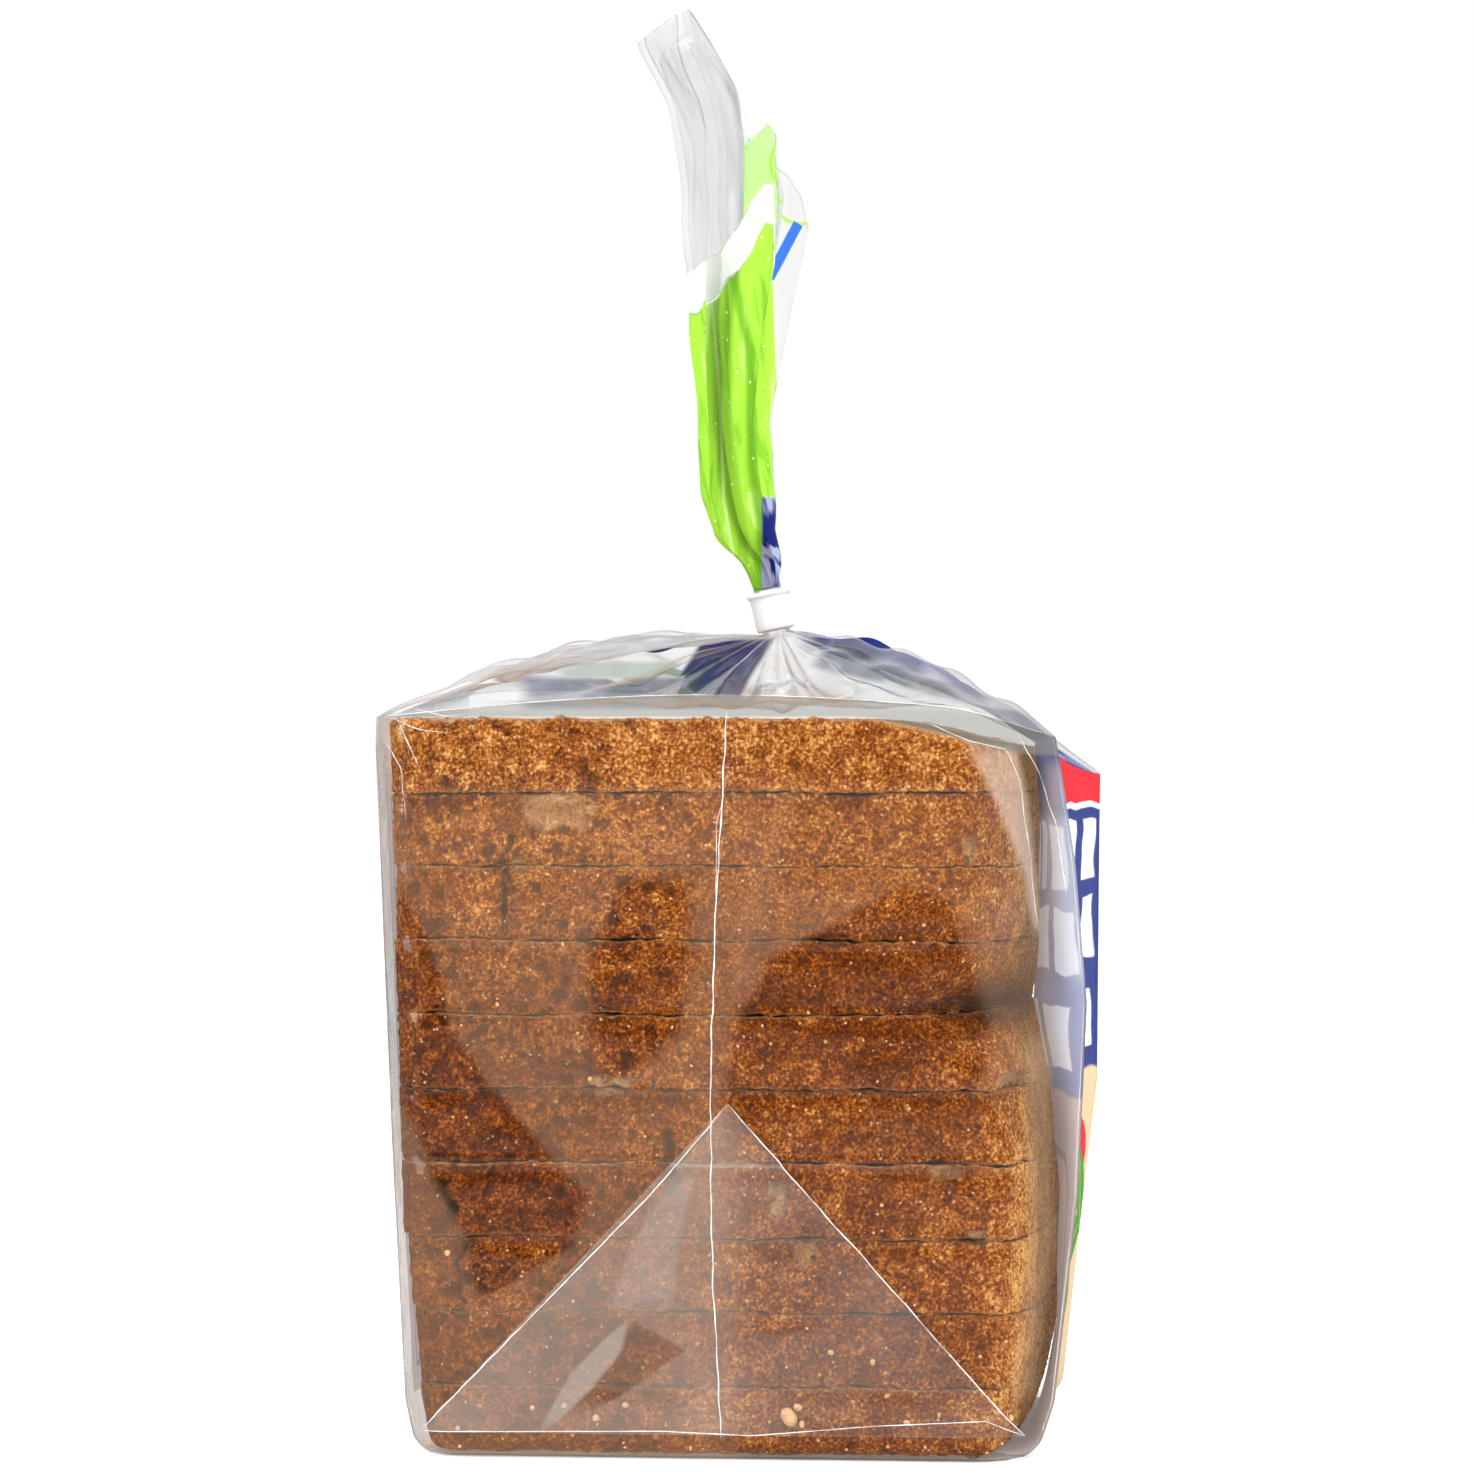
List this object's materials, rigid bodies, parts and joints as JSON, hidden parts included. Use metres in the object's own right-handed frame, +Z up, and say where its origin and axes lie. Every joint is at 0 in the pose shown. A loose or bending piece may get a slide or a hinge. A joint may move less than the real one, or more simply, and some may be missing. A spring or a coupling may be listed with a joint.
{
  "type": "sliced sandwich loaf in bag",
  "caption": "Sliced sandwich loaf standing on end in a clear side-gusseted bag, gathered at the neck by a white band under a loose pleated tail of film.",
  "frame": {"origin": "middle of the flat folded end that the pack stands on", "axes": "+Z up through the neck to the tail, +X towards the printed front panel over the domed crust, -Y towards the gusset that the picture shows"},
  "size_m": [0.1253, 0.1228, 0.2587],
  "materials": {
    "bag_film": "clear thin bag film over a brown crust, with printed front, back and tail",
    "neck_band": "satin white moulded plastic",
    "bread": "dry golden-brown crust with open pores and paler crumb"
  },
  "bodies": {
    "root": {"bag": "bag_film", "neck_band": "neck_band"}
  },
  "joints": []
}
